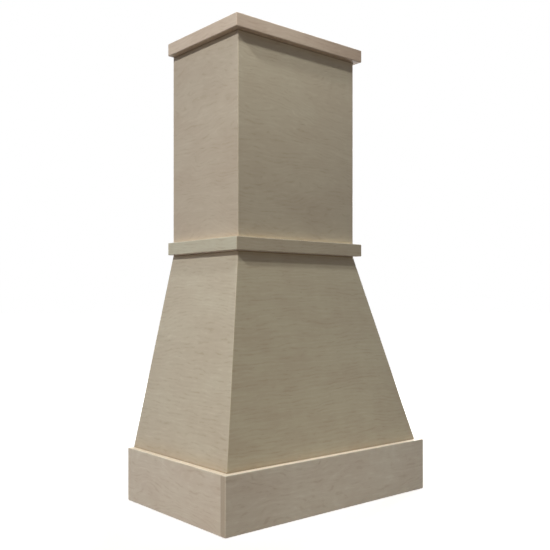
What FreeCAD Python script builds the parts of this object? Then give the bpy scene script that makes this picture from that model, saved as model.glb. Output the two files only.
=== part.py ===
"""Wooden range hood cover: a tapered body and a straight chimney on a boxed apron.

Millimetres.  X runs to the right along the wall, Y points into the wall, Z is up.
The origin is on the wall, at the middle of the hood, level with the apron's lower edge,
so a point at a given depth in front of the wall has y = -depth.
"""
import FreeCAD, Part
import os
import Sketcher

SIZES = {
    # Overall
    "hood_width": 762,            # across the apron, a standard 30 inch cover
    "hood_depth": 476,            # wall to the front of the apron
    "hood_height": 1362,          # apron's lower edge to the ceiling
    # Apron and the plywood box inside it
    "apron_height": 152,
    "apron_board": 19,
    "base_board": 19,
    # Tapered body and chimney
    "body_height": 720,           # apron's lower edge to the joint under the belt
    "panel_board": 19,
    "chimney_width": 451,
    "chimney_depth": 324,
    # Trim
    "trim_board": 19,
    "belt_height": 37,
    "crown_height": 37,
    "arris": 1.5,                 # easing of the edges that a hand can reach
    # Frame that carries the hood insert
    "frame_board": 19,
    "liner_recess": 40,           # apron's lower edge to the underside of the frame
    "housing_depth": 6,           # of the frame's groove and of the box's own corner rabbets
    "cutout_width": 527,
    "cutout_depth": 283,
    # Cleats
    "foot_cleat_width": 22,
    "foot_cleat_reach": 38,       # above and below the joint that it crosses
    "hip_cleat_leg": 30,
    "hip_cleat_gap": 10,          # short of the pieces above and below it
    "corner_cleat": 25,
    # Flat rings in the body and the chimney
    "ring_board": 19,
    "duct_width": 320,            # clear opening through the rings
    "duct_depth": 215,
    "duct_setback": 45,           # wall to the opening
    # Wall rails
    "wall_rail_board": 19,
    "wall_rail_height": 89,
    "body_rail_drop": 90,         # joint under the belt down to the rail's top edge
    "wall_bore": 7,
    "stud_spacing": 406.4,
    "chimney_bore_spacing": 300,
    # Wood screws
    "screw_length": 32,
    "screw_shank": 4.2,
    "screw_head": 8.4,
    "screw_point": 5,
    "screw_clearance": 0.2,       # all round the screw
    "screw_inset": 60,            # board's end to the outermost screw
}

FRONT_APRON_SCREWS = 4
SIDE_APRON_SCREWS = 2
SIDES = ("left", "right")
SAME_PLACE = 1e-4                 # closest that two different edges can lie

doc = FreeCAD.newDocument("RangeHoodCover")
sheet = doc.addObject("Spreadsheet::Sheet", "Sizes")
for row, (alias, value) in enumerate(SIZES.items(), start=1):
    sheet.set(f"A{row}", alias)
    sheet.set(f"B{row}", str(value))
    sheet.setAlias(f"B{row}", alias)
doc.recompute()

sub_parts = []


# Heights and half widths, written as expressions on the sheet's cells.

HALF_WIDTH = "(Sizes.hood_width / 2)"
BASE_HALF = f"({HALF_WIDTH} - Sizes.apron_board)"
BASE_HALF_INSIDE = f"({BASE_HALF} - Sizes.base_board)"
BASE_FRONT = "(Sizes.hood_depth - Sizes.apron_board)"
BASE_FRONT_INSIDE = f"({BASE_FRONT} - Sizes.base_board)"

CHIMNEY_HALF = "(Sizes.chimney_width / 2)"
CHIMNEY_HALF_INSIDE = f"({CHIMNEY_HALF} - Sizes.panel_board)"
CHIMNEY_FRONT = "Sizes.chimney_depth"
CHIMNEY_FRONT_INSIDE = f"({CHIMNEY_FRONT} - Sizes.panel_board)"
TRIM_HALF = f"({CHIMNEY_HALF} + Sizes.trim_board)"
TRIM_FRONT = f"({CHIMNEY_FRONT} + Sizes.trim_board)"

APRON_TOP = "Sizes.apron_height"
BODY_TOP = "Sizes.body_height"
BELT_TOP = f"({BODY_TOP} + Sizes.belt_height)"
CEILING = "Sizes.hood_height"
CROWN_FOOT = f"({CEILING} - Sizes.crown_height)"
LINER_FOOT = "Sizes.liner_recess"
LINER_TOP = f"({LINER_FOOT} + Sizes.frame_board)"
CLEAT_FOOT = f"({APRON_TOP} - Sizes.foot_cleat_reach)"
CLEAT_TOP = f"({APRON_TOP} + Sizes.foot_cleat_reach)"
COLLAR_FOOT = f"({BODY_TOP} - Sizes.ring_board)"
FOOT_RING_TOP = f"({BODY_TOP} + Sizes.ring_board)"
HEAD_RING_FOOT = f"({CEILING} - Sizes.ring_board)"

DUCT_HALF = "(Sizes.duct_width / 2)"
DUCT_BACK = "Sizes.duct_setback"
DUCT_FRONT = f"({DUCT_BACK} + Sizes.duct_depth)"

# Inward run of the sloping panels for each unit of rise, and their thickness measured level.
RISE = f"({BODY_TOP} - {APRON_TOP})"
SIDE_SLOPE = f"(({BASE_HALF} - {CHIMNEY_HALF}) / {RISE})"
FRONT_SLOPE = f"(({BASE_FRONT} - {CHIMNEY_FRONT}) / {RISE})"
SIDE_SKIN = f"(Sizes.panel_board * sqrt(1 + {SIDE_SLOPE}^2))"
FRONT_SKIN = f"(Sizes.panel_board * sqrt(1 + {FRONT_SLOPE}^2))"


def body_half(height):
    """Half width over the tapered body at a height."""
    return f"({BASE_HALF} - ({height} - {APRON_TOP}) * {SIDE_SLOPE})"


def body_half_inside(height):
    return f"({body_half(height)} - {SIDE_SKIN})"


def body_front(height):
    """Depth of the tapered body's front at a height."""
    return f"({BASE_FRONT} - ({height} - {APRON_TOP}) * {FRONT_SLOPE})"


def body_front_inside(height):
    return f"({body_front(height)} - {FRONT_SKIN})"


def middle(low, high):
    return f"(({low} + {high}) / 2)"


def number(expression):
    """Value of an expression on the sheet, in millimetres."""
    return float(sheet.evalExpression(expression))


def side_span(side, near, far):
    """Lowest and highest x of something between two distances from the middle of the hood."""
    if side == "left":
        return f"-{far}", f"-{near}"
    return near, far


def on_side(side, distance):
    return f"-{distance}" if side == "left" else distance


# Bodies, sketches and features.

def new_body(label):
    body = doc.addObject("PartDesign::Body", label)
    body.Label = label
    sub_parts.append(body)
    return body


def new_sketch(body, name, role, level):
    """Sketch on one of the body's origin planes, moved along that plane's normal.

    The level is a height on XY_Plane, a depth in front of the wall on XZ_Plane, an x on YZ_Plane.
    """
    sketch = body.newObject("Sketcher::SketchObject", f"{body.Label}_{name}")
    plane = next(item for item in body.Origin.OriginFeatures if item.Role == role)
    sketch.AttachmentSupport = (plane, [""])
    sketch.MapMode = "FlatFace"
    sketch.setExpression("AttachmentOffset.Base.z", level)
    return sketch


def locate(sketch, geometry, vertex, across, up):
    """Tie one vertex of a sketch to its two coordinates."""
    for kind, expression in (("DistanceX", across), ("DistanceY", up)):
        tie = Sketcher.Constraint(kind, -1, 1, geometry, vertex, number(expression))
        index = sketch.addConstraint(tie)
        sketch.setExpression(f"Constraints[{index}]", expression)


def draw_outline(sketch, corners):
    """Closed outline through corners given as pairs of expressions."""
    points = [FreeCAD.Vector(number(across), number(up), 0) for across, up in corners]
    first = sketch.GeometryCount
    count = len(points)
    for index, point in enumerate(points):
        sketch.addGeometry(Part.LineSegment(point, points[(index + 1) % count]), False)
    for index in range(count):
        after = first + (index + 1) % count
        sketch.addConstraint(Sketcher.Constraint("Coincident", first + index, 2, after, 1))
    for index, (across, up) in enumerate(corners):
        locate(sketch, first + index, 1, across, up)


def rectangle(x_span, depths):
    """Level outline between two x values and two depths in front of the wall."""
    left, right = x_span
    near, far = depths
    return [(left, f"-{far}"), (right, f"-{far}"), (right, f"-{near}"), (left, f"-{near}")]


def draw_circles(sketch, centres, diameter):
    for across, up in centres:
        centre = FreeCAD.Vector(number(across), number(up), 0)
        circle = Part.Circle(centre, FreeCAD.Vector(0, 0, 1), number(diameter) / 2)
        geometry = sketch.addGeometry(circle, False)
        locate(sketch, geometry, 3, across, up)
        size = Sketcher.Constraint("Diameter", geometry, number(diameter))
        index = sketch.addConstraint(size)
        sketch.setExpression(f"Constraints[{index}]", diameter)


def pad(body, sketch, length):
    """Extrude along the sketch plane's normal: up, towards the front, or to the right."""
    feature = body.newObject("PartDesign::Pad", f"{body.Label}_pad")
    feature.Profile = sketch
    feature.setExpression("Length", length)
    doc.recompute()
    return feature


def pocket(body, sketch, depth, hip=None):
    """Cut against the sketch plane's normal (down, towards the wall, to the left), or up a hip."""
    before = body.Shape.Volume
    feature = body.newObject("PartDesign::Pocket", f"{sketch.Name}_cut")
    feature.Profile = sketch
    feature.setExpression("Length", depth)
    if hip:
        along_hip(feature, hip)
    doc.recompute()
    if body.Shape.Volume >= before:
        raise RuntimeError(f"{feature.Name} cuts nothing")


def chamfer(body, edges, size):
    base = body.Tip
    feature = body.newObject("PartDesign::Chamfer", f"{body.Label}_chamfer")
    feature.Base = (base, edges)
    feature.setExpression("Size", size)
    doc.recompute()


def board(label, outline, low, high):
    """Board with a level outline, from one height to another."""
    body = new_body(label)
    sketch = new_sketch(body, "outline", "XY_Plane", low)
    draw_outline(sketch, outline)
    pad(body, sketch, f"{high} - {low}")
    return body


def same(first, second):
    return abs(first - second) < SAME_PLACE


def edges_between(shape, test):
    """Names of the edges whose two ends both pass a test."""
    names = []
    for index, edge in enumerate(shape.Edges, start=1):
        if all(test(vertex.Point) for vertex in edge.Vertexes):
            names.append(f"Edge{index}")
    return names


def section_board(label, role, start, section, length):
    """Board with a constant section across the hood or along its depth."""
    body = new_body(label)
    sketch = new_sketch(body, "section", role, start)
    draw_outline(sketch, section)
    pad(body, sketch, length)
    return body


def along_hip(feature, side):
    """Turn a feature that runs straight up so that it follows a hip of the tapered body."""
    feature.UseCustomVector = True
    feature.Direction = FreeCAD.Vector(0, 0, 1)
    feature.AlongSketchNormal = True
    feature.setExpression("Direction.x", SIDE_SLOPE if side == "left" else f"-{SIDE_SLOPE}")
    feature.setExpression("Direction.y", FRONT_SLOPE)
    doc.recompute()


# Wood screws and their holes.  One list of places gives both.

SCREW_BORE = "(Sizes.screw_shank + 2 * Sizes.screw_clearance)"
COUNTERSINK = "((Sizes.screw_head - Sizes.screw_shank) / 2)"
WAYS = {
    "left": FreeCAD.Vector(-1, 0, 0),
    "right": FreeCAD.Vector(1, 0, 0),
    "forward": FreeCAD.Vector(0, -1, 0),
    "down": FreeCAD.Vector(0, 0, -1),
}


def pilot_depth(board_passed):
    """How far the hole goes on in the next piece, for a screw that has passed a board."""
    return f"(Sizes.screw_length - {board_passed} + Sizes.screw_clearance)"


def bore(body, name, role, level, centres, diameter, depth):
    """Round holes that start on a plane and run against its normal."""
    sketch = new_sketch(body, name, role, level)
    draw_circles(sketch, centres, diameter)
    pocket(body, sketch, depth)


def spot(role, level, across, up):
    """Point of a sketch plane in the frame of the hood."""
    level, across, up = number(level), number(across), number(up)
    if role == "XY_Plane":
        return FreeCAD.Vector(across, up, level)
    if role == "XZ_Plane":
        return FreeCAD.Vector(across, -level, up)
    return FreeCAD.Vector(level, across, up)


def countersink(body, role, level, centres):
    """Flare the mouths of screw holes on one face of a board."""
    mouths = [spot(role, level, *centre) for centre in centres]
    names = []
    for index, edge in enumerate(body.Shape.Edges, start=1):
        if not isinstance(edge.Curve, Part.Circle):
            continue
        if any(edge.Curve.Center.isEqual(mouth, SAME_PLACE) for mouth in mouths):
            names.append(f"Edge{index}")
    chamfer(body, names, COUNTERSINK)


def screw_solid():
    """Countersunk wood screw: the head's face is on the plane z = 0, the point is above it."""
    body = doc.addObject("PartDesign::Body", "screw")
    sketch = new_sketch(body, "profile", "XZ_Plane", "0")
    head = "(Sizes.screw_head / 2)"
    shank = "(Sizes.screw_shank / 2)"
    profile = [("0", "0"), (head, "0"), (shank, COUNTERSINK),
               (shank, "(Sizes.screw_length - Sizes.screw_point)"), ("0", "Sizes.screw_length")]
    draw_outline(sketch, profile)
    feature = body.newObject("PartDesign::Revolution", "screw_revolution")
    feature.Profile = sketch
    feature.ReferenceAxis = (sketch, ["V_Axis"])
    feature.Angle = 360
    doc.recompute()
    return body


def screw_group(label, screw, places):
    """One node of equal screws; a place is the head's centre and the way the screw is driven."""
    copies = []
    for index, (x, y, z, way) in enumerate(places):
        copy = doc.addObject("App::Link", f"{label}_{index}")
        copy.LinkedObject = screw
        turn = FreeCAD.Rotation(FreeCAD.Vector(0, 0, 1), WAYS[way])
        copy.Placement = FreeCAD.Placement(FreeCAD.Vector(0, 0, 0), turn)
        for axis, expression in (("x", x), ("y", y), ("z", z)):
            copy.setExpression(f"Placement.Base.{axis}", expression)
        copies.append(copy)
    group = doc.addObject("Part::Compound", label)
    group.Label = label
    group.Links = copies
    sub_parts.append(group)


def spread(count, low, high):
    """Evenly spaced places from one value to another."""
    return [f"({low} + {index} * ({high} - {low}) / {count - 1})" for index in range(count)]


# Three-sided rings of boards, open to the wall and mitred at the two front corners.

def front_outline(half, front, half_inside, front_inside):
    """Level outline of the front board, with its share of the two eased corners."""
    right = [(f"({half} - Sizes.arris)", f"-{front}"),
             (f"({half} - Sizes.arris / 2)", f"-({front} - Sizes.arris / 2)"),
             (half_inside, f"-{front_inside}")]
    left = [(f"-{x}", y) for x, y in reversed(right)]
    return left + right


def side_outline(side, half, front, half_inside, front_inside):
    """Level outline of a side board, from the wall to its share of the eased corner."""
    outline = [(half, "0"), (half, f"-({front} - Sizes.arris)"),
               (f"({half} - Sizes.arris / 2)", f"-({front} - Sizes.arris / 2)"),
               (half_inside, f"-{front_inside}"), (half_inside, "0")]
    return [(on_side(side, x), y) for x, y in outline]


# Apron: the front board laps the ends of the side boards.

# The screws zigzag between a row below the insert's frame and a row above it.
APRON_ROWS = (f"({LINER_FOOT} / 2)", middle(LINER_TOP, CLEAT_FOOT))


def zigzag(count, low, high):
    places = spread(count, low, high)
    return [(place, APRON_ROWS[index % 2]) for index, place in enumerate(places)]


APRON_FRONT_PLACES = zigzag(FRONT_APRON_SCREWS, f"(Sizes.screw_inset - {BASE_HALF_INSIDE})",
                            f"({BASE_HALF_INSIDE} - Sizes.screw_inset)")
APRON_SIDE_PLACES = zigzag(SIDE_APRON_SCREWS, f"(Sizes.screw_inset - {BASE_FRONT_INSIDE})",
                           "-Sizes.screw_inset")


def ease_apron(body):
    """Ease the edges where two of the apron's outer faces meet."""
    faces = [("y", "-Sizes.hood_depth"), ("x", f"-{HALF_WIDTH}"), ("x", HALF_WIDTH),
             ("z", "0"), ("z", APRON_TOP)]

    def on_face(point, face):
        axis, level = face
        return same(getattr(point, axis), number(level))

    names = []
    for index, first in enumerate(faces):
        for second in faces[index + 1:]:
            names += edges_between(
                body.Shape, lambda point: on_face(point, first) and on_face(point, second))
    chamfer(body, names, "Sizes.arris")


def apron():
    depth = pilot_depth("Sizes.base_board")
    outline = rectangle((f"-{HALF_WIDTH}", HALF_WIDTH), (BASE_FRONT, "Sizes.hood_depth"))
    front = board("apron_front", outline, "0", APRON_TOP)
    ease_apron(front)
    far_end = f"({BASE_FRONT} + {depth})"
    bore(front, "pilots", "XZ_Plane", far_end, APRON_FRONT_PLACES, SCREW_BORE, depth)
    for side in SIDES:
        outline = rectangle(side_span(side, BASE_HALF, HALF_WIDTH), ("0", BASE_FRONT))
        cheek = board(f"apron_{side}", outline, "0", APRON_TOP)
        ease_apron(cheek)
        pilot_span = side_span(side, BASE_HALF, f"({BASE_HALF} + {depth})")
        bore(cheek, "pilots", "YZ_Plane", pilot_span[1], APRON_SIDE_PLACES, SCREW_BORE, depth)


# Base box: plywood inside the apron, rabbeted at its corners and grooved for the insert's frame.

HOUSED_HALF = f"({BASE_HALF_INSIDE} + Sizes.housing_depth)"
HOUSED_FRONT = f"({BASE_FRONT_INSIDE} + Sizes.housing_depth)"
HOUSED_BACK = "(Sizes.base_board - Sizes.housing_depth)"


def house(body, name, top, height, outlines):
    """Groove or rabbet cut down from a height."""
    sketch = new_sketch(body, name, "XY_Plane", top)
    for outline in outlines:
        draw_outline(sketch, outline)
    pocket(body, sketch, height)


def base_front():
    body = board("base_front", rectangle((f"-{BASE_HALF}", BASE_HALF),
                                         (BASE_FRONT_INSIDE, BASE_FRONT)), "0", APRON_TOP)
    depths = (BASE_FRONT_INSIDE, HOUSED_FRONT)
    rabbets = [rectangle(side_span(side, BASE_HALF_INSIDE, BASE_HALF), depths) for side in SIDES]
    house(body, "rabbets", APRON_TOP, APRON_TOP, rabbets)
    groove = rectangle((f"-{BASE_HALF_INSIDE}", BASE_HALF_INSIDE), depths)
    house(body, "groove", LINER_TOP, "Sizes.frame_board", [groove])
    bore(body, "bores", "XZ_Plane", BASE_FRONT, APRON_FRONT_PLACES, SCREW_BORE,
         "Sizes.base_board")
    countersink(body, "XZ_Plane", BASE_FRONT_INSIDE, APRON_FRONT_PLACES)


def base_side(side):
    span = side_span(side, BASE_HALF_INSIDE, BASE_HALF)
    body = board(f"base_{side}", rectangle(span, ("0", HOUSED_FRONT)), "0", APRON_TOP)
    housed_span = side_span(side, BASE_HALF_INSIDE, HOUSED_HALF)
    house(body, "rabbet", APRON_TOP, APRON_TOP,
          [rectangle(housed_span, ("0", "Sizes.base_board"))])
    house(body, "groove", LINER_TOP, "Sizes.frame_board",
          [rectangle(housed_span, ("Sizes.base_board", HOUSED_FRONT))])
    bore(body, "bores", "YZ_Plane", span[1], APRON_SIDE_PLACES, SCREW_BORE, "Sizes.base_board")
    countersink(body, "YZ_Plane", on_side(side, BASE_HALF_INSIDE), APRON_SIDE_PLACES)


def base_back():
    span = (f"-{HOUSED_HALF}", HOUSED_HALF)
    body = board("base_back", rectangle(span, ("0", "Sizes.base_board")), "0", APRON_TOP)
    house(body, "groove", LINER_TOP, "Sizes.frame_board",
          [rectangle(span, (HOUSED_BACK, "Sizes.base_board"))])
    wall_bores(body, middle(LINER_TOP, APRON_TOP), "Sizes.stud_spacing", "Sizes.base_board")


def wall_bores(body, row, spacing, thickness):
    """Two level holes for the screws that go into the wall."""
    places = [(on_side(side, f"({spacing} / 2)"), row) for side in SIDES]
    bore(body, "wall_bores", "XZ_Plane", thickness, places, "Sizes.wall_bore", thickness)


# Frame for the hood insert: four rails, half-lapped at the corners, round the cut-out.

CUTOUT_HALF = "(Sizes.cutout_width / 2)"
CUTOUT_MIDDLE = middle("Sizes.base_board", BASE_FRONT_INSIDE)
CUTOUT_FRONT = f"({CUTOUT_MIDDLE} + Sizes.cutout_depth / 2)"
CUTOUT_BACK = f"({CUTOUT_MIDDLE} - Sizes.cutout_depth / 2)"


def liner_frame():
    half_board = "(Sizes.frame_board / 2)"
    long_rails = {"front": (CUTOUT_FRONT, HOUSED_FRONT), "back": (HOUSED_BACK, CUTOUT_BACK)}
    for name, depths in long_rails.items():
        outline = rectangle((f"-{HOUSED_HALF}", HOUSED_HALF), depths)
        rail = board(f"liner_rail_{name}", outline, LINER_FOOT, LINER_TOP)
        ends = [rectangle(side_span(side, CUTOUT_HALF, HOUSED_HALF), depths) for side in SIDES]
        house(rail, "laps", middle(LINER_FOOT, LINER_TOP), half_board, ends)
    for side in SIDES:
        span = side_span(side, CUTOUT_HALF, HOUSED_HALF)
        outline = rectangle(span, (HOUSED_BACK, HOUSED_FRONT))
        rail = board(f"liner_rail_{side}", outline, LINER_FOOT, LINER_TOP)
        ends = [rectangle(span, depths) for depths in long_rails.values()]
        house(rail, "laps", LINER_TOP, half_board, ends)


# Tapered body: three sloping panels whose hips are compound mitres.

def hip_waste(side, board_side):
    """Level outline, at the foot of a hip, of what is sawn off a panel along that hip.

    It runs down the eased corner and the mitre, and lies clear of the panel everywhere else.
    """
    inside = (body_half_inside(APRON_TOP), body_front_inside(APRON_TOP))
    eased = (f"({BASE_HALF} - Sizes.arris / 2)", f"({BASE_FRONT} - Sizes.arris / 2)")
    spare = "Sizes.panel_board"
    if board_side == "front":
        far = f"(2 * {BASE_HALF} - {CHIMNEY_HALF})"
        corner = f"({BASE_HALF} - Sizes.arris)"
        outline = [(corner, f"({BASE_FRONT} + {spare})"), (corner, BASE_FRONT), eased, inside,
                   (inside[0], f"({inside[1]} - {spare})"), (far, f"({inside[1]} - {spare})"),
                   (far, f"({BASE_FRONT} + {spare})")]
    else:
        far = f"(2 * {BASE_FRONT} - {CHIMNEY_FRONT})"
        corner = f"({BASE_FRONT} - Sizes.arris)"
        outline = [(f"({BASE_HALF} + {spare})", corner), (BASE_HALF, corner), eased, inside,
                   (f"({inside[0]} - {spare})", inside[1]), (f"({inside[0]} - {spare})", far),
                   (f"({BASE_HALF} + {spare})", far)]
    return [(on_side(side, x), f"-{depth}") for x, depth in outline]


def saw_hip(body, side, board_side):
    sketch = new_sketch(body, f"{side}_hip", "XY_Plane", APRON_TOP)
    draw_outline(sketch, hip_waste(side, board_side))
    pocket(body, sketch, RISE, hip=side)


def tapered_panels():
    section = [(BASE_FRONT, APRON_TOP), (body_front_inside(APRON_TOP), APRON_TOP),
               (body_front_inside(BODY_TOP), BODY_TOP), (CHIMNEY_FRONT, BODY_TOP)]
    section = [(f"-{depth}", z) for depth, z in section]
    front = section_board("taper_front", "YZ_Plane", f"-{BASE_HALF}", section,
                          f"2 * {BASE_HALF}")
    for side in SIDES:
        saw_hip(front, side, "front")
        section = [(BASE_HALF, APRON_TOP), (body_half_inside(APRON_TOP), APRON_TOP),
                   (body_half_inside(BODY_TOP), BODY_TOP), (CHIMNEY_HALF, BODY_TOP)]
        section = [(on_side(side, x), z) for x, z in section]
        panel = section_board(f"taper_{side}", "XZ_Plane", "0", section, BASE_FRONT)
        saw_hip(panel, side, side)


FOOT_CLEAT_HALF = f"({BASE_HALF_INSIDE} - Sizes.foot_cleat_width)"
FOOT_CLEAT_FRONT = f"({BASE_FRONT_INSIDE} - Sizes.foot_cleat_width)"


def foot_cleats():
    """Cleats behind the joint of the base box and the panels, bevelled above it."""
    def section(base_face, panel_face, free_face):
        return [(base_face, CLEAT_FOOT), (base_face, APRON_TOP), (panel_face(APRON_TOP), APRON_TOP),
                (panel_face(CLEAT_TOP), CLEAT_TOP), (free_face, CLEAT_TOP), (free_face, CLEAT_FOOT)]

    corners = section(BASE_FRONT_INSIDE, body_front_inside, FOOT_CLEAT_FRONT)
    section_board("foot_cleat_front", "YZ_Plane", f"-{FOOT_CLEAT_HALF}",
                  [(f"-{depth}", z) for depth, z in corners], f"2 * {FOOT_CLEAT_HALF}")
    for side in SIDES:
        corners = section(BASE_HALF_INSIDE, body_half_inside, FOOT_CLEAT_HALF)
        section_board(f"foot_cleat_{side}", "XZ_Plane", "Sizes.base_board",
                      [(on_side(side, x), z) for x, z in corners],
                      f"{FOOT_CLEAT_FRONT} - Sizes.base_board")


def hip_cleats():
    """Three-cornered cleats that fill the inside of the hip mitres."""
    low = f"({CLEAT_TOP} + Sizes.hip_cleat_gap)"
    high = f"({COLLAR_FOOT} - Sizes.hip_cleat_gap)"
    half = body_half_inside(low)
    front = body_front_inside(low)
    corners = [(half, front), (f"({half} - Sizes.hip_cleat_leg)", front),
               (half, f"({front} - Sizes.hip_cleat_leg)")]
    for side in SIDES:
        body = new_body(f"hip_cleat_{side}")
        sketch = new_sketch(body, "foot", "XY_Plane", low)
        draw_outline(sketch, [(on_side(side, x), f"-{depth}") for x, depth in corners])
        along_hip(pad(body, sketch, f"{high} - {low}"), side)


# Screws through the chimney's foot ring into the collar, by the rail that they pass.
FRONT_RAIL_MIDDLE = middle(DUCT_FRONT, CHIMNEY_FRONT_INSIDE)
SIDE_RAIL_MIDDLE = middle(DUCT_HALF, CHIMNEY_HALF_INSIDE)
RING_PLACES = {
    "front": [(on_side(side, f"({DUCT_HALF} / 2)"), f"-{FRONT_RAIL_MIDDLE}") for side in SIDES],
    "left": [(f"-{SIDE_RAIL_MIDDLE}", f"-({DUCT_FRONT} / 2)")],
    "right": [(SIDE_RAIL_MIDDLE, f"-({DUCT_FRONT} / 2)")],
}


def collar():
    """Flat ring in the top of the tapered body; its outer edges are bevelled to the panels."""
    foot_half = body_half_inside(COLLAR_FOOT)
    foot_front = body_front_inside(COLLAR_FOOT)
    slope = [(foot_half, COLLAR_FOOT), (body_half_inside(BODY_TOP), BODY_TOP)]
    section = [(f"-{x}", z) for x, z in reversed(slope)] + slope
    front = section_board("collar_front", "XZ_Plane", DUCT_FRONT, section,
                          f"{foot_front} - {DUCT_FRONT}")
    bevel = new_sketch(front, "bevel", "YZ_Plane", foot_half)
    draw_outline(bevel, [(f"-{foot_front}", COLLAR_FOOT), (f"-{foot_front}", BODY_TOP),
                         (f"-{body_front_inside(BODY_TOP)}", BODY_TOP)])
    pocket(front, bevel, f"2 * {foot_half}")
    rails = {"front": front}
    for side in SIDES:
        section = slope + [(DUCT_HALF, BODY_TOP), (DUCT_HALF, COLLAR_FOOT)]
        rails[side] = section_board(f"collar_{side}", "XZ_Plane", "0",
                                    [(on_side(side, x), z) for x, z in section], DUCT_FRONT)
    outline = rectangle((f"-{DUCT_HALF}", DUCT_HALF), ("0", DUCT_BACK))
    board("collar_back", outline, COLLAR_FOOT, BODY_TOP)
    for name, rail in rails.items():
        bore(rail, "pilots", "XY_Plane", BODY_TOP, RING_PLACES[name], SCREW_BORE,
             pilot_depth("Sizes.ring_board"))


def body_wall_rail():
    """Rail on the wall between the sloping side panels, cut to their slope."""
    high = f"({BODY_TOP} - Sizes.body_rail_drop)"
    low = f"({high} - Sizes.wall_rail_height)"
    slope = [(body_half_inside(low), low), (body_half_inside(high), high)]
    section = [(f"-{x}", z) for x, z in reversed(slope)] + slope
    rail = section_board("body_wall_rail", "XZ_Plane", "0", section, "Sizes.wall_rail_board")
    wall_bores(rail, middle(low, high), "Sizes.stud_spacing", "Sizes.wall_rail_board")


# Chimney: three mitred panels, stiffened by a flat ring at each end.

def chimney_panels():
    levels = (CHIMNEY_HALF, CHIMNEY_FRONT, CHIMNEY_HALF_INSIDE, CHIMNEY_FRONT_INSIDE)
    board("chimney_front", front_outline(*levels), BODY_TOP, CEILING)
    for side in SIDES:
        board(f"chimney_{side}", side_outline(side, *levels), BODY_TOP, CEILING)


def chimney_ring(name, low, high):
    """Flat ring inside the chimney, with the duct's opening in it."""
    front = rectangle((f"-{CHIMNEY_HALF_INSIDE}", CHIMNEY_HALF_INSIDE),
                      (DUCT_FRONT, CHIMNEY_FRONT_INSIDE))
    back = rectangle((f"-{DUCT_HALF}", DUCT_HALF), ("0", DUCT_BACK))
    rails = {"front": board(f"{name}_front", front, low, high),
             "back": board(f"{name}_back", back, low, high)}
    for side in SIDES:
        outline = rectangle(side_span(side, DUCT_HALF, CHIMNEY_HALF_INSIDE), ("0", DUCT_FRONT))
        rails[side] = board(f"{name}_{side}", outline, low, high)
    return rails


def chimney_frame():
    foot = chimney_ring("chimney_foot", BODY_TOP, FOOT_RING_TOP)
    for name, places in RING_PLACES.items():
        rail = foot[name]
        bore(rail, "bores", "XY_Plane", FOOT_RING_TOP, places, SCREW_BORE, "Sizes.ring_board")
        countersink(rail, "XY_Plane", FOOT_RING_TOP, places)
    chimney_ring("chimney_head", HEAD_RING_FOOT, CEILING)
    for side in SIDES:
        span = side_span(side, f"({CHIMNEY_HALF_INSIDE} - Sizes.corner_cleat)",
                         CHIMNEY_HALF_INSIDE)
        depths = (f"({CHIMNEY_FRONT_INSIDE} - Sizes.corner_cleat)", CHIMNEY_FRONT_INSIDE)
        board(f"chimney_corner_{side}", rectangle(span, depths), FOOT_RING_TOP, HEAD_RING_FOOT)
    low = f"({HEAD_RING_FOOT} - Sizes.wall_rail_height)"
    outline = rectangle((f"-{CHIMNEY_HALF_INSIDE}", CHIMNEY_HALF_INSIDE),
                        ("0", "Sizes.wall_rail_board"))
    rail = board("chimney_wall_rail", outline, low, HEAD_RING_FOOT)
    wall_bores(rail, middle(low, HEAD_RING_FOOT), "Sizes.chimney_bore_spacing",
               "Sizes.wall_rail_board")


# Belt and crown: mitred trim, glued and pinned to the chimney.

def ease_trim(body, low, high):
    """Ease the long edges, above and below, of a trim board's outer face."""
    outer_half = number(f"({TRIM_HALF} - Sizes.arris)")
    outer_front = number(f"({TRIM_FRONT} - Sizes.arris)")

    def outer(point):
        return abs(point.x) > outer_half or -point.y > outer_front

    names = []
    for level in (number(low), number(high)):
        names += edges_between(body.Shape, lambda point: same(point.z, level) and outer(point))
    chamfer(body, names, "Sizes.arris")


def trim_ring(name, low, high):
    levels = (TRIM_HALF, TRIM_FRONT, CHIMNEY_HALF, CHIMNEY_FRONT)
    ease_trim(board(f"{name}_front", front_outline(*levels), low, high), low, high)
    for side in SIDES:
        ease_trim(board(f"{name}_{side}", side_outline(side, *levels), low, high), low, high)


def screws():
    screw = screw_solid()
    places = [(x, f"-{BASE_FRONT_INSIDE}", z, "forward") for x, z in APRON_FRONT_PLACES]
    places += [(on_side(side, BASE_HALF_INSIDE), y, z, side)
               for side in SIDES for y, z in APRON_SIDE_PLACES]
    screw_group("apron_screws", screw, places)
    places = [(x, y, FOOT_RING_TOP, "down") for group in RING_PLACES.values() for x, y in group]
    screw_group("chimney_screws", screw, places)


def check_document():
    doc.recompute()
    for item in doc.Objects:
        if "Invalid" in item.State or "Error" in item.State:
            raise RuntimeError(f"{item.Name} failed: {item.State}")
    for item in sub_parts:
        if item.Shape.isNull() or not item.Shape.isValid() or not item.Shape.Solids:
            raise RuntimeError(f"{item.Label} has no valid solid")


apron()
base_front()
for base_end in SIDES:
    base_side(base_end)
base_back()
liner_frame()
tapered_panels()
foot_cleats()
hip_cleats()
collar()
body_wall_rail()
chimney_panels()
chimney_frame()
trim_ring("belt", BODY_TOP, BELT_TOP)
trim_ring("crown", CROWN_FOOT, CEILING)
screws()

check_document()
os.makedirs("parts", exist_ok=True)
for sub_part in sub_parts:
    sub_part.Shape.exportStep(f"parts/{sub_part.Label}.step")
print(f"{len(sub_parts)} sub-parts written")
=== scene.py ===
"""Looks of the wooden range hood cover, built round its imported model.  Metres, same frame as the part."""
import math

import bmesh
import bpy
from mathutils import Matrix, Vector


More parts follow.
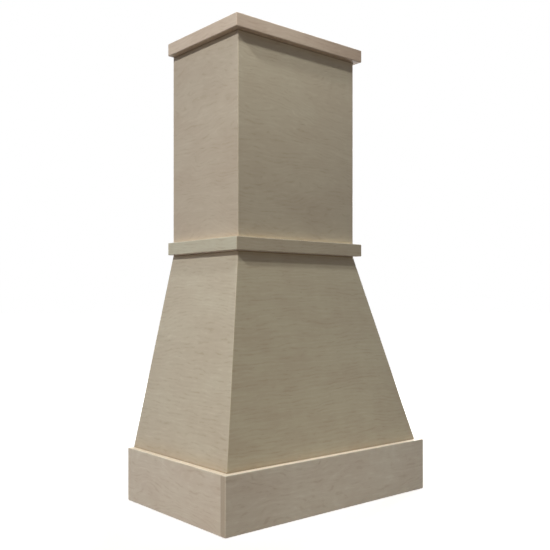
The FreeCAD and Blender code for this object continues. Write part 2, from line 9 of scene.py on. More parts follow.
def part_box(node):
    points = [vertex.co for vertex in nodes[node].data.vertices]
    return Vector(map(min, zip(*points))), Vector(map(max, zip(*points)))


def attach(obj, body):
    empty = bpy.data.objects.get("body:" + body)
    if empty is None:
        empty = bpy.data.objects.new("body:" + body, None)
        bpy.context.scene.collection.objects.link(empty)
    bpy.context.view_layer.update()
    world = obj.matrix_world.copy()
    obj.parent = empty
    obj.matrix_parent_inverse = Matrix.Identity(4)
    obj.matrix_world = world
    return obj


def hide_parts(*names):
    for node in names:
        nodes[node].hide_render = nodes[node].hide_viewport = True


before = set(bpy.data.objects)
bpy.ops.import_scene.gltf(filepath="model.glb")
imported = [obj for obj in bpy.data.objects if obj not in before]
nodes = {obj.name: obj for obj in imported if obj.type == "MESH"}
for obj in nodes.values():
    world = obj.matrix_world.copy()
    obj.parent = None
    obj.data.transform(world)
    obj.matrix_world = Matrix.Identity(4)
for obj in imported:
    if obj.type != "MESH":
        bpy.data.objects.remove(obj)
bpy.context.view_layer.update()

MM = 0.001
X, Y, Z = (1, 0, 0), (0, 1, 0), (0, 0, 1)
TWO_PI = 2 * math.pi
WHITE = (1.0, 1.0, 1.0, 1.0)


def linear(red, green, blue):
    """Linear colour of an sRGB one in 0 to 255."""
    def one(value):
        value /= 255
        return value / 12.92 if value <= 0.04045 else ((value + 0.055) / 1.055) ** 2.4
    return (one(red), one(green), one(blue), 1.0)


def unit(vector):
    return tuple(Vector(vector).normalized())


# Node graphs.

class Graph:
    """A shader's node tree, with a short call for each kind of node."""

    def __init__(self, owner):
        owner.use_nodes = True
        self.tree = owner.node_tree
        self.tree.nodes.clear()

    def put(self, socket, value):
        if isinstance(value, bpy.types.NodeSocket):
            self.tree.links.new(value, socket)
        elif value is not None:
            socket.default_value = value[:3] if socket.type == "VECTOR" else value

    def node(self, kind, inputs=(), **settings):
        made = self.tree.nodes.new("ShaderNode" + kind)
        for key, value in settings.items():
            setattr(made, key, value)
        pairs = inputs.items() if isinstance(inputs, dict) else enumerate(inputs)
        for key, value in pairs:
            self.put(made.inputs[key], value)
        return made

    def math(self, operation, *values):
        return self.node("Math", values, operation=operation).outputs[0]

    def vector(self, operation, *values):
        made = self.node("VectorMath", values, operation=operation)
        return made.outputs["Value" if operation in ("DOT_PRODUCT", "LENGTH") else "Vector"]

    def scaled(self, vector, factor):
        return self.node("VectorMath", {"Vector": vector, "Scale": factor},
                         operation="SCALE").outputs["Vector"]

    def noise(self, vector, detail=2.0, roughness=0.5, distortion=0.0):
        made = self.node("TexNoise", {"Vector": vector, "Scale": 1.0, "Detail": detail,
                                      "Roughness": roughness, "Distortion": distortion})
        return made.outputs[0]

    def step(self, value, low, high, to_low=0.0, to_high=1.0):
        """Smooth step of a value from one level to another."""
        made = self.node("MapRange", interpolation_type="SMOOTHSTEP")
        for key, given in (("Value", value), ("From Min", low), ("From Max", high),
                           ("To Min", to_low), ("To Max", to_high)):
            self.put(made.inputs[key], given)
        return made.outputs["Result"]

    def mix(self, factor, first, second):
        """Mix of two colours; the node's colour sockets share their names, so they go by number."""
        made = self.node("Mix", data_type="RGBA")
        self.put(made.inputs[0], factor)
        self.put(made.inputs[6], first)
        self.put(made.inputs[7], second)
        return made.outputs[2]

    def bump(self, height, depth):
        return self.node("Bump", {"Strength": 1.0, "Distance": depth, "Height": height}).outputs[0]

    def principled(self, colour, roughness, normal, **more):
        """Surface of the material; more holds the shader's other sockets, by name."""
        given = {"Base Color": colour, "Roughness": roughness, "Normal": normal}
        given.update({key.replace("_", " "): value for key, value in more.items()})
        shader = self.node("BsdfPrincipled", given)
        self.node("OutputMaterial", {"Surface": shader.outputs[0]})

    def seen(self):
        """1 where a ray from the camera, a reflection or a transmission arrives."""
        path = self.node("LightPath")
        most = self.math("MAXIMUM", path.outputs["Is Camera Ray"], path.outputs["Is Glossy Ray"])
        return self.math("MAXIMUM", most, path.outputs["Is Transmission Ray"])


# Wood.  Each board has its own place in the textures and its own tint, partly its tone and partly painted
# shading.
# A look has pale and deep colours, growth lines to a metre across the grain, how far hills in the
# wood bend those lines, the strengths of figure, fibre and flecks and, on trim, the share of a painted
# highlight on its upward faces.

PANEL = dict(pale=linear(186, 175, 155), deep=linear(181, 168, 148), lines=92, hills=8.0, figure=0.13,
             fibre=0.16, fleck=0.36)
SOLID = dict(pale=linear(184, 173, 154), deep=linear(179, 166, 147), lines=90, hills=14.0, figure=0.16,
             fibre=0.16, fleck=0.30, top_highlight=1.0)
PLYWOOD = dict(pale=linear(198, 180, 148), deep=linear(186, 166, 133), lines=70, hills=12.0, figure=0.12,
               fibre=0.16, fleck=0.30)
SOFTWOOD = dict(pale=linear(208, 184, 142), deep=linear(196, 166, 120), lines=190, hills=7.0, figure=0.24,
                fibre=0.12, fleck=0.08)
FLECK = linear(118, 97, 76)
PAINTED_HIGHLIGHT = linear(250, 238, 216)    # painted highlight on the trim's upward faces
PAINTED_UNDERSIDE = linear(184, 162, 138)   # painted warm shading on the trim's downward faces, as bounce light shows them
END_GRAIN = linear(158, 142, 122)
GLUE_LINE = linear(96, 76, 56)
CROSS_PLY = linear(150, 124, 92)
BROWNING = (0.78, 1.0, 1.22)    # how much of a dark shade each colour channel takes
RIPPLE = 1.4                    # growth lines that small ripples move them by
EARLY_WOOD = 0.6                # strength of the pale early wood beside the dark late wood
SWAY = 0.016                    # metres across the grain that the flecks' lines sway by
# Places for flecks to a metre along and across the grain, and the share of them that stays empty.
FLECK_SIZES = ((52.0, 300.0, 0.80), (21.0, 190.0, 0.90))
PLIES = 7
SEED_STEP = (3.17, 1.93, 0.71)  # from one board's place in the textures to the next
SMOOTHEST, ROUGHNESS_RANGE = 0.36, 0.14
WOOD_RELIEF = 0.05 * MM
UP_LOW, UP_HIGH = 0.90, 0.99    # upward part of the normal, from a leaning edge to a level one


def along_grain(g, board, along, across):
    """The board's own coordinates for textures with so many features to a metre each way."""
    return g.vector("MULTIPLY", board, (along, across, across))


def growth_rings(g, board, look):
    """Shade of growth rings: wavy lines along the grain, so many to a metre, in short broken stretches."""
    hills = g.noise(along_grain(g, board, 2.4, 5.0), detail=3.0, roughness=0.48)
    ripple = g.noise(along_grain(g, board, 16.0, 34.0), detail=2.0, roughness=0.6)
    across = g.node("SeparateXYZ", (board,)).outputs["Y"]
    level = g.math("MULTIPLY_ADD", hills, look["hills"], g.math("MULTIPLY", across, look["lines"]))
    level = g.math("MULTIPLY_ADD", ripple, RIPPLE, level)
    wave = g.math("SINE", g.math("MULTIPLY", level, TWO_PI))
    patches = g.noise(along_grain(g, board, 21.0, 64.0), detail=3.0, roughness=0.65)
    late = g.math("MULTIPLY", g.step(wave, 0.0, 1.0), g.step(patches, 0.45, 0.68))
    early = g.math("MULTIPLY", g.step(wave, -1.0, 0.0, 1.0, 0.0), g.step(patches, 0.32, 0.55, 1.0, 0.0))
    shade = g.math("MULTIPLY_ADD", late, -look["figure"], 1.0)
    return g.math("MULTIPLY_ADD", early, EARLY_WOOD * look["figure"], shade)


def flecks(g, board):
    """Short dark ray flecks of two sizes that lean with the grain's small waves."""
    waves = g.noise(along_grain(g, board, 9.0, 12.0), detail=1.0)
    sway = g.math("MULTIPLY_ADD", waves, SWAY, -SWAY / 2)
    bent = g.vector("ADD", board, g.node("CombineXYZ", (0.0, sway, 0.0)).outputs[0])
    found = []
    for along, across, empty in FLECK_SIZES:
        cells = g.node("TexVoronoi", {"Vector": g.vector("MULTIPLY", bent, (along, across, 60.0)),
                                      "Scale": 1.0, "Randomness": 1.0})
        chance = g.node("SeparateColor", (cells.outputs["Color"],))
        reach = g.math("MULTIPLY_ADD", chance.outputs[1], 0.28, 0.12)
        spot = g.step(cells.outputs["Distance"], 0.02, reach, 1.0, 0.0)
        found.append(g.math("MULTIPLY", spot, g.step(chance.outputs[0], empty, 1.0)))
    return g.math("MAXIMUM", *found)


def plies(g, board, look, pores, level):
    """Colour of a plywood edge: pale and dark plies in turn with glue between; level counts the plies."""
    wander = g.math("MULTIPLY", g.noise(along_grain(g, board, 9.0, 9.0), detail=1.0), 0.16)
    turn = g.math("PINGPONG", g.math("ADD", level, wander), 1.0)
    cross = g.step(turn, 0.38, 0.62)
    glue = g.step(g.math("ABSOLUTE", g.math("SUBTRACT", turn, 0.5)), 0.05, 0.13, 0.75, 0.0)
    edge = g.mix(cross, look["pale"], g.scaled(CROSS_PLY, g.math("MULTIPLY_ADD", pores, 0.6, 0.7)))
    return g.mix(glue, edge, GLUE_LINE)


def wood(name, look, grain, into, seed, tint=(1.0, 1.0, 1.0), thickness=None, face=0.0, fades=()):
    """Material of one board: grain is the way of its fibres and into the way through its thickness.

    With a thickness the board is plywood, and its edges show the plies from the place of one face.
    Each fade of (axis, low, high, tint at low, tint at high) is painted shading along an axis.
    """
    material = bpy.data.materials.new(name)
    g = Graph(material)
    grain, into = unit(grain), unit(into)
    across = tuple(Vector(into).cross(Vector(grain)))
    place = g.node("TexCoord")
    here, normal = place.outputs["Object"], place.outputs["Normal"]
    depth = g.vector("DOT_PRODUCT", here, into)
    board = g.node("CombineXYZ", (g.vector("DOT_PRODUCT", here, grain),
                                  g.vector("DOT_PRODUCT", here, across), depth)).outputs[0]
    board = g.vector("ADD", board, tuple(seed * k for k in SEED_STEP))

    fibre = g.noise(along_grain(g, board, 14.0, 420.0), detail=4.0, roughness=0.62)
    streak = g.noise(along_grain(g, board, 6.0, 120.0), detail=3.0, roughness=0.6, distortion=0.3)
    curl = g.noise(along_grain(g, board, 24.0, 4.0), detail=2.0)
    cloud = g.noise(along_grain(g, board, 7.0, 13.0), detail=3.0, roughness=0.6)
    pores = g.noise(along_grain(g, board, 60.0, 900.0), detail=3.0, roughness=0.7)
    marks = flecks(g, board)

    shade = growth_rings(g, board, look)
    for texture, share in ((fibre, 1.0), (streak, 1.2), (curl, 0.55)):
        shade = g.math("MULTIPLY_ADD", g.math("SUBTRACT", texture, 0.5), share * look["fibre"], shade)
    tone = g.vector("MULTIPLY_ADD", g.math("SUBTRACT", shade, 1.0), BROWNING, (1.0, 1.0, 1.0))
    colour = g.mix(g.step(cloud, 0.34, 0.66), look["deep"], look["pale"])
    colour = g.mix(g.math("MULTIPLY", marks, look["fleck"]), colour, FLECK)
    colour = g.vector("MULTIPLY", colour, tone)
    if thickness is None:
        facing = g.math("ABSOLUTE", g.vector("DOT_PRODUCT", normal, grain))
        sawn = g.step(facing, 0.7, 0.85)
        edge = g.scaled(END_GRAIN, g.math("MULTIPLY_ADD", pores, 0.5, 0.75))
    else:
        facing = g.math("ABSOLUTE", g.vector("DOT_PRODUCT", normal, into))
        sawn = g.step(facing, 0.55, 0.68, 1.0, 0.0)
        level = g.math("MULTIPLY", g.math("SUBTRACT", depth, face), PLIES / thickness)
        edge = plies(g, board, look, pores, level)
    colour = g.vector("MULTIPLY", g.mix(sawn, colour, edge), tint)
    if "top_highlight" in look:
        # Painted highlight on the trim's upward faces, and painted warm shading on its downward ones.
        up = g.vector("DOT_PRODUCT", normal, Z)
        highlight_share = g.math("MULTIPLY", g.step(up, UP_LOW, UP_HIGH), look["top_highlight"])
        colour = g.mix(highlight_share, colour, g.vector("MULTIPLY", PAINTED_HIGHLIGHT, tone))
        underside_share = g.step(up, -UP_HIGH, -UP_LOW, 1.0, 0.0)
        colour = g.mix(underside_share, colour, g.vector("MULTIPLY", PAINTED_UNDERSIDE, tone))
    for axis, low, high, at_low, at_high in fades:
        along = g.node("SeparateXYZ", (here,)).outputs[axis]
        colour = g.vector("MULTIPLY", colour, g.mix(g.step(along, low, high), at_low, at_high))

    height = g.math("MULTIPLY_ADD", marks, -0.5, fibre)
    height = g.math("MULTIPLY_ADD", pores, g.math("MULTIPLY", sawn, 0.8), height)
    roughness = g.math("MULTIPLY_ADD", streak, ROUGHNESS_RANGE, SMOOTHEST)
    g.principled(colour, roughness, g.bump(height, WOOD_RELIEF), Sheen_Weight=0.35, Sheen_Roughness=0.4)
    return material


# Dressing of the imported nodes.

SAME_PLACE = 0.01 * MM
SAME_PLANE = math.radians(0.1)
SHARP_EDGE = math.radians(25)
EDGE_BREAK = 0.35 * MM


def joined_flat():
    """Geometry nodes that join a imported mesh's split corners and shade its faces flat."""
    tree = bpy.data.node_groups.new("joined_flat", "GeometryNodeTree")
    tree.interface.new_socket("Geometry", in_out="INPUT", socket_type="NodeSocketGeometry")
    tree.interface.new_socket("Geometry", in_out="OUTPUT", socket_type="NodeSocketGeometry")
    chain = [tree.nodes.new(kind) for kind in (
        "NodeGroupInput", "GeometryNodeMergeByDistance", "GeometryNodeRemoveAttribute",
        "GeometryNodeSetShadeSmooth", "NodeGroupOutput")]
    merge, remove, shade = chain[1:4]
    merge.inputs["Distance"].default_value = SAME_PLACE
    remove.inputs["Name"].default_value = "custom_normal"
    shade.inputs["Shade Smooth"].default_value = False
    for first, second in zip(chain, chain[1:]):
        tree.links.new(first.outputs[0], second.inputs[0])
    return tree


JOINED_FLAT = joined_flat()


def dress(name, material):
    """Give a CAD node its material, make its flat faces whole and break its sharp edges a little."""
    piece = nodes[name]
    piece.data.materials.clear()
    piece.data.materials.append(material)
    piece.modifiers.new("Joined", "NODES").node_group = JOINED_FLAT
    whole = piece.modifiers.new("Whole_faces", "DECIMATE")
    whole.decimate_type = "DISSOLVE"
    whole.angle_limit = SAME_PLANE
    bevel = piece.modifiers.new("Bevel", "BEVEL")
    bevel.width = EDGE_BREAK
    bevel.segments = 2
    bevel.limit_method = "ANGLE"
    bevel.angle_limit = SHARP_EDGE


# Facts of the part that the grain and the painted shading need, from the imported model.
taper_low, taper_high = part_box("taper_front")
chimney_low, chimney_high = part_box("chimney_front")
crown_low, crown_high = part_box("crown_front")
RISE = taper_high.z - taper_low.z
SIDE_RUN = taper_high.x - chimney_high.x
FRONT_RUN = chimney_low.y - taper_low.y
belt_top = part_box("belt_front")[1].z

THICK = 19 * MM                 # every board and sheet

# Each board's tint on its look's colours, partly tone and partly painted shading; "side" stands for a side
# that isn't named.
TONE_AND_SHADING_TINTS = {
    "apron": {"front": (1.078, 1.176, 1.23), "side": (1.151, 1.216, 1.286)},
    "belt": {"front": (0.851, 0.883, 0.827), "side": (1.018, 1.151, 1.168),
             "right": (1.0, 1.05, 1.04)},
    "crown": {"front": (1.3, 1.254, 1.268), "side": (1.114, 1.085, 1.128)},
    "chimney": {"front": (1.08, 1.125, 1.088), "side": (0.888, 0.898, 0.915)},
    "taper": {"front": (0.79, 0.83, 0.768), "side": (0.929, 0.983, 0.994)},
}
PLAIN = WHITE                   # no change of tone
# tint of the painted shade in the crease under a trim
CREASE_SHADE_TINT = (0.62, 0.57, 0.52, 1.0)


def painted_crease_shade(level):
    """Painted shade: a thin dark line on a shell, in the crease below the trim that crosses it."""
    return ("Z", level - 5 * MM, level - 2 * MM, PLAIN, CREASE_SHADE_TINT)


def painted_shading_at_foot(foot, reach, tint):
    """Painted shading at a board's foot, lighter or darker, fading out over a reach above it."""
    return ("Z", foot, foot + reach, tint, PLAIN)


# Painted light and shade within a shell's or a trim's board, as changes of colour along an axis; a group's
# are on all its boards.
FADES = {
    # painted shade in the crease under the crown
    "chimney": (painted_crease_shade(crown_low.z),),
    # painted shade, darker towards the bottom as the light from above falls off
    "chimney_front": (("Z", chimney_low.z, chimney_high.z, (0.80, 0.80, 0.80, 1.0), PLAIN),
                      # painted bounce light above the belt's lit top
                      painted_shading_at_foot(belt_top, 14 * MM, (1.12, 1.08, 1.03, 1.0))),
    # painted bounce light above the belt's lit top
    "chimney_left": (painted_shading_at_foot(belt_top, 14 * MM, (1.04, 1.01, 0.97, 1.0)),),
    # painted shade in the creases on the apron and under the belt
    "taper": (painted_shading_at_foot(taper_low.z, 5 * MM, (0.76, 0.70, 0.62, 1.0)), painted_crease_shade(taper_high.z)),
    # painted warm shade near the apron's ledge
    "taper_left": (painted_shading_at_foot(taper_low.z, 45 * MM, (0.90, 0.84, 0.78, 1.0)),),
    # painted warm shade near the apron's ledge
    "taper_front": (painted_shading_at_foot(taper_low.z, 30 * MM, (0.98, 0.94, 0.91, 1.0)),),
    # painted shading, darker towards the right end where less light falls
    "crown_front": (("X", -50 * MM, crown_high.x, PLAIN, (0.75, 0.70, 0.66, 1.0)),),
}
CROWN = dict(SOLID, top_highlight=0.4)
LOOKS = {
    "crown_front": CROWN,
    "crown_left": CROWN,
    "crown_right": CROWN,
    "apron_front": dict(SOLID, lines=34, hills=19.0, figure=0.17),
    "apron_left": dict(SOLID, lines=30, hills=21.0, figure=0.17),
    "chimney_front": dict(PANEL, lines=74, hills=21.0, fibre=0.12),
    "chimney_left": dict(PANEL, lines=66, hills=23.0, fibre=0.12),
    "taper_left": dict(PANEL, lines=84, hills=13.0, figure=0.17),
}


def tint_of(group, side):
    tints = TONE_AND_SHADING_TINTS[group]
    return tints.get(side, tints["side"])


def trim_board(group, side, seed):
    """Solid maple: apron, belt and crown."""
    name = f"{group}_{side}"
    grain, into = (X, Y) if side == "front" else (Y, X)
    dress(name, wood(f"{name}_maple", LOOKS.get(name, SOLID), grain, into, seed, tint_of(group, side),
                     fades=FADES.get(name, ())))


def shell_board(group, side, seed):
    """Maple plywood: the upright chimney and the leaning taper, with the grain level."""
    name = f"{group}_{side}"
    leaning = group == "taper"
    if side == "front":
        grain = X
        into = unit((0, -RISE, FRONT_RUN)) if leaning else (0, -1, 0)
        on_face = (0, taper_low.y, taper_low.z) if leaning else (0, chimney_low.y, 0)
    else:
        grain = Y
        out = 1 if side == "right" else -1
        into = unit((out * RISE, 0, SIDE_RUN)) if leaning else (out, 0, 0)
        on_face = (out * taper_high.x, 0, taper_low.z) if leaning else (out * chimney_high.x, 0, 0)
    dress(name, wood(f"{name}_maple", LOOKS.get(name, PANEL), grain, into, seed, tint_of(group, side),
                     THICK, Vector(into).dot(Vector(on_face)), FADES[group] + FADES.get(name, ())))


def inner_piece(name, seed):
    """Softwood cleats and wall rails; plywood for the rest.  The grain runs along the piece."""
    low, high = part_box(name)
    size = high - low
    thin, _, long = sorted(range(3), key=lambda axis: size[axis])
    way = (X, Y, Z)
    if any(word in name for word in ("cleat", "corner", "wall_rail")):
        dress(name, wood(f"{name}_softwood", SOFTWOOD, way[long], way[thin], seed))
    else:
        dress(name, wood(f"{name}_plywood", PLYWOOD, way[long], way[thin], seed, thickness=THICK,
                         face=low[thin]))


# Wood screws with a six-lobe drive and a thread, in the place of the plain ones.

# Heights run from the head's face towards the point.
SCREW_LENGTH = 32 * MM
HEAD_RADIUS = 4.2 * MM
# Height of each ring of the head's rounded rim, and how far inside the head's radius it lies.
HEAD_RIM = ((0.0, 0.30 * MM), (0.10 * MM, 0.14 * MM), (0.25 * MM, 0.25 * MM))
HEAD_SLOPE_END = 2.0 * MM
LOBES = 6
DRIVE_RADIUS = 1.60 * MM
LOBE_HEIGHT = 0.27 * MM
DRIVE_LIP_HEIGHT = 0.15 * MM
DRIVE_LIP_WIDTH = 0.12 * MM
DRIVE_DEPTH = 2.0 * MM
DRIVE_TAPER = 0.86              # of the drive's radius, at its bottom
DRIVE_TIP = 2.3 * MM
SHANK_START = 3.2 * MM
SHANK_RADIUS = 1.75 * MM
SHANK_SLOPE = 0.4 * MM          # over which the shank narrows to the root of the thread
CREST_RADIUS = 2.05 * MM
ROOT_RADIUS = 1.35 * MM
THREAD_START = 9.9 * MM
THREAD_RUN_IN = 3.0 * MM
POINT_START = 25.0 * MM
POINT_TAPER = 0.95              # of the thread's radius, lost at its end
THREAD_END = 31.6 * MM
PITCH = 2.0 * MM
SEGMENTS = 24
RIDGE = (0.0, 0.1, 1.0, 0.1)    # share of the thread's height at even steps of one pitch
SCREW_TURN = 0.9                # radians between the drives of one screw and the next
SCREW_SHARP = math.radians(32)


def lobe(angle):
    """Radius of the drive recess."""
    return DRIVE_RADIUS + LOBE_HEIGHT * math.cos(LOBES * angle)


def ramp(value, low, high):
    """How far a value is from low to high, held between 0 and 1."""
    return min(max((value - low) / (high - low), 0.0), 1.0)


def thread_radius(height, ridge):
    """Radius of the thread at a height: ridge is 0 at its root and 1 at its crest."""
    narrow = 1.0 - POINT_TAPER * ramp(height, POINT_START, THREAD_END)
    fade = ramp(height, THREAD_START, THREAD_START + THREAD_RUN_IN) * (height < THREAD_END)
    return (ROOT_RADIUS + (CREST_RADIUS - ROOT_RADIUS) * ridge * fade) * narrow


def screw_mesh():
    """A screw whose head's face is on z = 0 and whose point looks up."""
    bm = bmesh.new()
    angles = [TWO_PI * j / SEGMENTS for j in range(SEGMENTS)]

    def ring(height, radius):
        reach = [radius(a) if callable(radius) else radius for a in angles]
        return [bm.verts.new((r * math.cos(a), r * math.sin(a), height)) for r, a in zip(reach, angles)]

    def bridge(first, second):
        for j in range(SEGMENTS):
            k = (j + 1) % SEGMENTS
            bm.faces.new((first[j], first[k], second[k], second[j]))

    def close(rim, centre, inward):
        for j in range(SEGMENTS):
            pair = (rim[j], rim[(j + 1) % SEGMENTS])
            bm.faces.new((*(pair[::-1] if inward else pair), centre))

    # From the bottom of the drive, over the head and down the shank.
    rings = [
        ring(DRIVE_DEPTH, lambda a: DRIVE_TAPER * lobe(a)),
        ring(DRIVE_LIP_HEIGHT, lobe),
        ring(0.0, lambda a: lobe(a) + DRIVE_LIP_WIDTH),
        *(ring(height, HEAD_RADIUS - inside) for height, inside in HEAD_RIM),
        ring(HEAD_SLOPE_END, HEAD_RADIUS - HEAD_SLOPE_END),
        ring(SHANK_START, SHANK_RADIUS),
        ring(THREAD_START - SHANK_SLOPE, SHANK_RADIUS),
        ring(THREAD_START, ROOT_RADIUS),
    ]
    for first, second in zip(rings, rings[1:]):
        bridge(first, second)
    close(rings[0], bm.verts.new((0, 0, DRIVE_TIP)), inward=True)

    # The thread is a sheet of rows that climb with the angle, held between its two ends.
    steps = len(RIDGE)
    count = steps * math.ceil((THREAD_END - THREAD_START) / PITCH)
    rows = []
    for i in range(-steps, count + steps + 1):
        row = []
        for j, a in enumerate(angles):
            height = THREAD_START + PITCH * (i / steps + j / SEGMENTS)
            height = min(max(height, THREAD_START), THREAD_END)
            r = thread_radius(height, RIDGE[i % steps])
            row.append(bm.verts.new((r * math.cos(a), r * math.sin(a), height)))
        rows.append(row)
    for i in range(count + steps):
        for j in range(SEGMENTS):
            seam = j == SEGMENTS - 1
            k = 0 if seam else j + 1
            up = steps if seam else 0
            bm.faces.new((rows[i][j], rows[i + up][k], rows[i + 1 + up][k], rows[i + 1][j]))
    close(rows[-1], bm.verts.new((0, 0, SCREW_LENGTH)), inward=False)

    bmesh.ops.remove_doubles(bm, verts=bm.verts, dist=0.1 * SAME_PLACE)
    bmesh.ops.recalc_face_normals(bm, faces=bm.faces)
    mesh = bpy.data.meshes.new("screw")
    bm.to_mesh(mesh)
    bm.free()
    return mesh


def loose_solids(mesh):
    """Corner points of each separate solid in a mesh, in a steady order."""
    bm = bmesh.new()
    bm.from_mesh(mesh)
    bmesh.ops.remove_doubles(bm, verts=bm.verts, dist=SAME_PLACE)
    left = set(bm.verts)
    solids = []
    while left:
        reached = [left.pop()]
        for vert in reached:
            for edge in vert.link_edges:
                other = edge.other_vert(vert)
                if other in left:
                    left.remove(other)
                    reached.append(other)
        solids.append([vert.co.copy() for vert in reached])
    bm.free()
    return sorted(solids, key=lambda points: [round(min(p[axis] for p in points), 5) for axis in range(3)])


def screw_place(points):
    """Centre of a plain screw's head face, and the way that its point looks."""
    low = Vector([min(p[axis] for p in points) for axis in range(3)])
    high = Vector([max(p[axis] for p in points) for axis in range(3)])
    axis = max(range(3), key=lambda k: high[k] - low[k])
    head_is_low = sum(p[axis] - low[axis] < SAME_PLACE for p in points) > 1
    centre = (low + high) / 2
    centre[axis] = low[axis] if head_is_low else high[axis]
    way = Vector((0, 0, 0))
    way[axis] = 1 if head_is_low else -1
    return centre, way


def threaded_screws(name, screw, material):
    """Screws with heads and threads in the place of a node of plain ones."""
    bm = bmesh.new()
    for index, points in enumerate(loose_solids(nodes[name].data)):
        centre, way = screw_place(points)
        turn = Vector(Z).rotation_difference(way).to_matrix().to_4x4()
        spin = Matrix.Rotation(SCREW_TURN * index, 4, "Z")
        one = screw.copy()
        one.transform(Matrix.Translation(centre) @ turn @ spin)
        bm.from_mesh(one)
        bpy.data.meshes.remove(one)
    mesh = bpy.data.meshes.new(f"{name}_threaded")
    bm.to_mesh(mesh)
    bm.free()
    mesh.materials.append(material)
    mesh.shade_smooth()
    mesh.set_sharp_from_angle(angle=SCREW_SHARP)
    piece = bpy.data.objects.new(mesh.name, mesh)
    bpy.context.scene.collection.objects.link(piece)
    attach(piece, "root")
    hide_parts(name)


def zinc():
    """Yellow zinc plating: cloudy, a little worn and finely pitted."""
    material = bpy.data.materials.new("screw_zinc")
    g = Graph(material)
    here = g.node("TexCoord").outputs["Object"]
    cloud = g.noise(g.scaled(here, 420.0), detail=3.0, roughness=0.6)
    pits = g.noise(g.scaled(here, 4200.0), detail=2.0)
    bright, dull, pit = linear(206, 190, 146), linear(178, 168, 140), linear(120, 110, 92)
    colour = g.mix(g.step(cloud, 0.35, 0.65), bright, dull)
    colour = g.mix(g.step(pits, 0.62, 0.75), colour, pit)
    roughness = g.math("MULTIPLY_ADD", cloud, 0.22, 0.24)
    g.principled(colour, roughness, g.bump(pits, 0.01 * MM), Metallic=1.0)
    return material


def dress_all():
    seed = 1
    done = set()
    for group, board in (("apron", trim_board), ("belt", trim_board), ("crown", trim_board),
                         ("chimney", shell_board), ("taper", shell_board)):
        for side in ("front", "left", "right"):
            board(group, side, seed)
            done.add(f"{group}_{side}")
            seed += 1
    steel, screw = zinc(), screw_mesh()
    for name in sorted(set(nodes) - done):
        if name.endswith("screws"):
            threaded_screws(name, screw, steel)
        else:
            inner_piece(name, seed)
            seed += 1


dress_all()


# Floor, world, lamps and camera.

FLOOR_REACH = 30.0
FLOOR_DROP = 0.4 * MM           # below the object
FLOOR_SEEN = (0.9, 0.9, 0.9, 1.0)
FLOOR_TO_WOOD = (0.12, 0.105, 0.085, 1.0)
WORLD_TO_WOOD = (1.0, 0.75, 0.60, 1.0)
WORLD_LEVEL = 0.05
GLOW_START, GLOW_FULL = 0.7, 2.2        # metres from the origin, over which the floor's glow grows
NEAR_GLOW, FAR_GLOW = 0.36, 1.0


def stage():
    """White floor and white world that are dim to the wood.

    The floor's own glow is weak near the object, so that the shadow stays.
    """
    corners = [(x * FLOOR_REACH, y * FLOOR_REACH, -FLOOR_DROP)
               for x, y in ((-1, -1), (1, -1), (1, 1), (-1, 1))]
    mesh = bpy.data.meshes.new("floor")
    mesh.from_pydata(corners, [], [(0, 1, 2, 3)])
    floor = bpy.data.objects.new("floor", mesh)
    bpy.context.scene.collection.objects.link(floor)
    material = bpy.data.materials.new("floor_white")
    g = Graph(material)
    pale = g.node("BsdfDiffuse", {"Color": FLOOR_SEEN})
    distance = g.vector("LENGTH", g.node("TexCoord").outputs["Object"])
    glow = g.step(distance, GLOW_START, GLOW_FULL, NEAR_GLOW, FAR_GLOW)
    white = g.node("Emission", {"Color": WHITE, "Strength": glow})
    shown = g.node("AddShader", (pale.outputs[0], white.outputs[0]))
    plain = g.node("BsdfDiffuse", {"Color": FLOOR_TO_WOOD})
    both = g.node("MixShader", (g.seen(), plain.outputs[0], shown.outputs[0]))
    g.node("OutputMaterial", {"Surface": both.outputs[0]})
    mesh.materials.append(material)

    world = bpy.data.worlds.new("studio")
    bpy.context.scene.world = world
    g = Graph(world)
    dim = g.node("Background", {"Color": WORLD_TO_WOOD, "Strength": WORLD_LEVEL})
    white = g.node("Background", {"Color": WHITE, "Strength": 1.0})
    both = g.node("MixShader", (g.seen(), dim.outputs[0], white.outputs[0]))
    g.node("OutputWorld", {"Surface": both.outputs[0]})


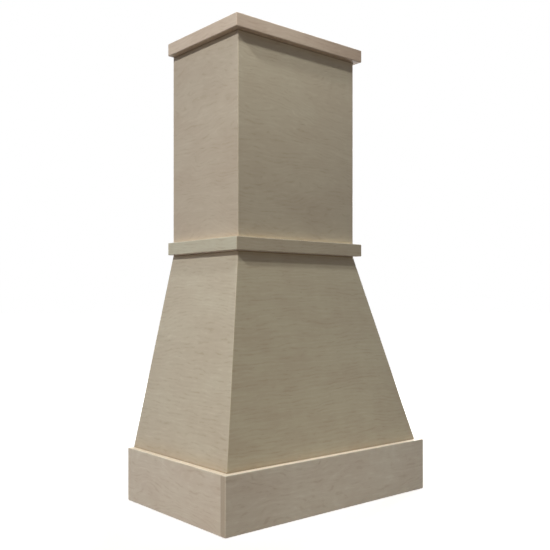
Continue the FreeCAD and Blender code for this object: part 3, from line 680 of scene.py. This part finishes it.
def lamp(name, place, target, size, spread, strength, colour):
    """Square softbox with a grid that narrows its beam to a spread in degrees.

    Each unit of strength is pi squared watts.
    """
    data = bpy.data.lights.new(name, "AREA")
    data.shape = "SQUARE"
    data.size = size
    data.spread = math.radians(spread)
    data.energy = strength * math.pi ** 2
    data.color = colour
    made = bpy.data.objects.new(name, data)
    made.location = place
    made.rotation_euler = (Vector(target) - Vector(place)).to_track_quat("-Z", "Y").to_euler()
    made.visible_camera = False
    bpy.context.scene.collection.objects.link(made)


DAYLIGHT = (1.0, 0.99, 0.97)

stage()
# Name, place, target, size, spread, strength and colour.
lamp("left_key", (-3.56, -0.99, 3.87), (-0.1, -0.3, 1.1), 0.3, 118, 6.3, DAYLIGHT)
lamp("front_key", (-0.38, -1.05, 2.62), (-0.05, -0.35, 1.0), 0.13, 118, 0.64, DAYLIGHT)
lamp("low_fill", (-3.8, -2.7, 0.3), (-0.1, -0.3, -0.5), 1.0, 70, 1.15, (1.0, 0.81, 0.72))
lamp("front_fill", (-0.9, -2.6, 0.12), (0.1, -0.45, -0.05), 0.5, 30, 0.045, (1.0, 0.93, 0.88))
lamp("back_fill", (2.4, 2.0, 1.9), (0.0, -0.24, 0.75), 1.6, 170, 5.0, (1.0, 1.0, 1.0))
lamp("right_fill", (3.4, 1.0, 1.2), (0.2, -0.1, 0.7), 1.2, 90, 3.0, (1.0, 0.98, 0.95))

# The photograph's camera, which is level.  Its picture, focal length and shifts are in pixels.
PICTURE = 550
FOCAL_LENGTH = 752.88
SHIFT_RIGHT, SHIFT_UP = -9.225, 25.466
SENSOR = 36.0                   # millimetres
CAMERA_PLACE = (-1.4760, -1.9622, 0.5826)
CAMERA_TURN = -0.7133           # radians about Z, from looking along +Y

camera_data = bpy.data.cameras.new("camera")
camera_data.sensor_width = SENSOR
camera_data.lens = FOCAL_LENGTH * SENSOR / PICTURE
camera_data.shift_x = SHIFT_RIGHT / PICTURE
camera_data.shift_y = SHIFT_UP / PICTURE
camera = bpy.data.objects.new("camera", camera_data)
camera.location = CAMERA_PLACE
camera.rotation_euler = (math.pi / 2, 0.0, CAMERA_TURN)
bpy.context.scene.collection.objects.link(camera)
bpy.context.scene.camera = camera
bpy.context.scene.view_settings.view_transform = "Standard"
